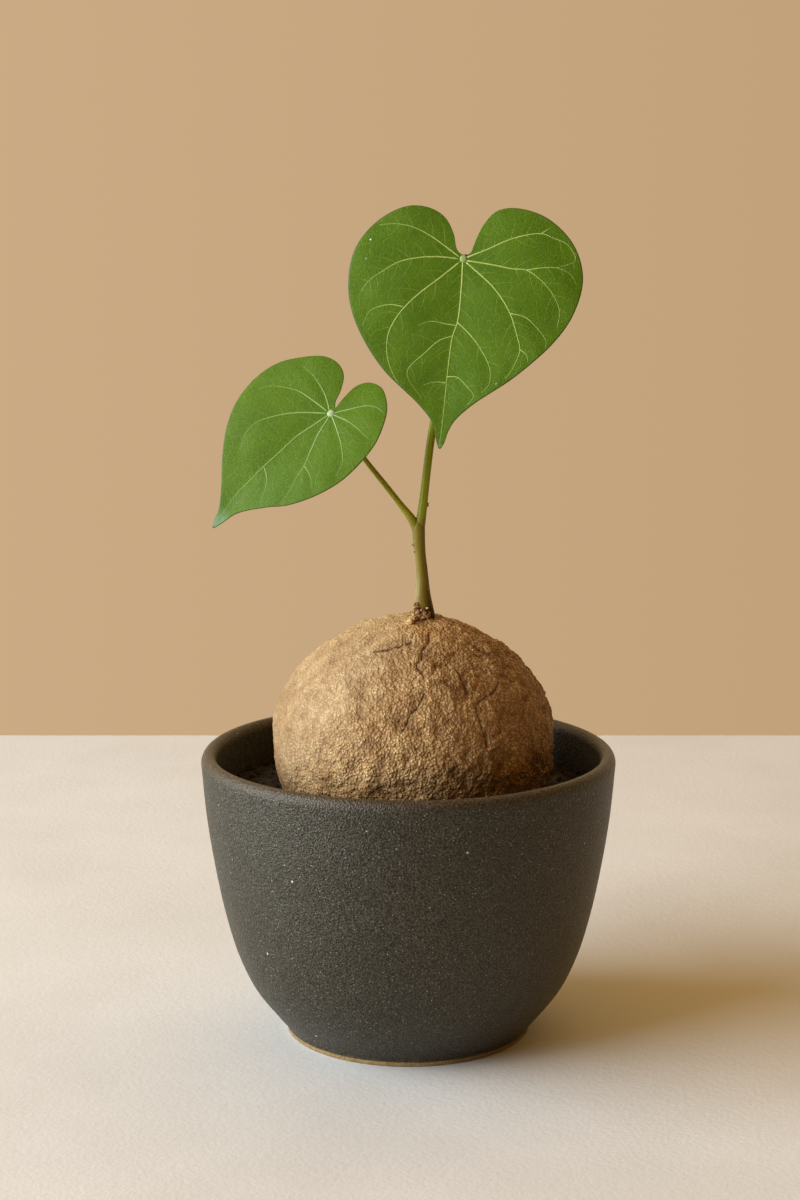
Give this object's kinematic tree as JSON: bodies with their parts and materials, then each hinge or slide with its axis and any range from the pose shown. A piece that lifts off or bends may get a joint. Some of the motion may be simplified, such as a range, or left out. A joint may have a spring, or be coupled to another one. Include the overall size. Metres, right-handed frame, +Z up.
{
  "type": "potted stephania erecta",
  "caption": "Caudex plant: a round corky caudex half sunk in soil, a short stem and heart-shaped leaves on long petioles, in a small dark stoneware pot.",
  "frame": {"origin": "on the ground, in the middle under the pot's foot", "axes": "+Z up along the pot's axis, -Y towards the front, where the leaves' upper faces look"},
  "size_m": [0.1, 0.1, 0.199],
  "materials": {
    "stoneware": "matte dark grey stoneware with fine pale specks, brownish rim and a bare tan clay foot line",
    "soil": "dark brown crumbly potting soil",
    "bark": "rough matte tan-brown cork, finely pitted and wrinkled, with a few cracks from the crown",
    "dry_scales": "dry dark brown and pinkish-tan scales and crumbs",
    "stem_skin": "olive-brown smooth skin, darker at the foot",
    "petiole_skin": "smooth satin yellow-green skin",
    "leaf": "soft satin green with pale yellow-green veins"
  },
  "bodies": {
    "root": {"pot": "stoneware", "soil": "soil", "caudex": "bark", "crown_scales": "dry_scales", "stem": "stem_skin", "petiole_large": "petiole_skin", "petiole_small": "petiole_skin", "leaf_large": "leaf", "leaf_small": "leaf"}
  },
  "joints": []
}
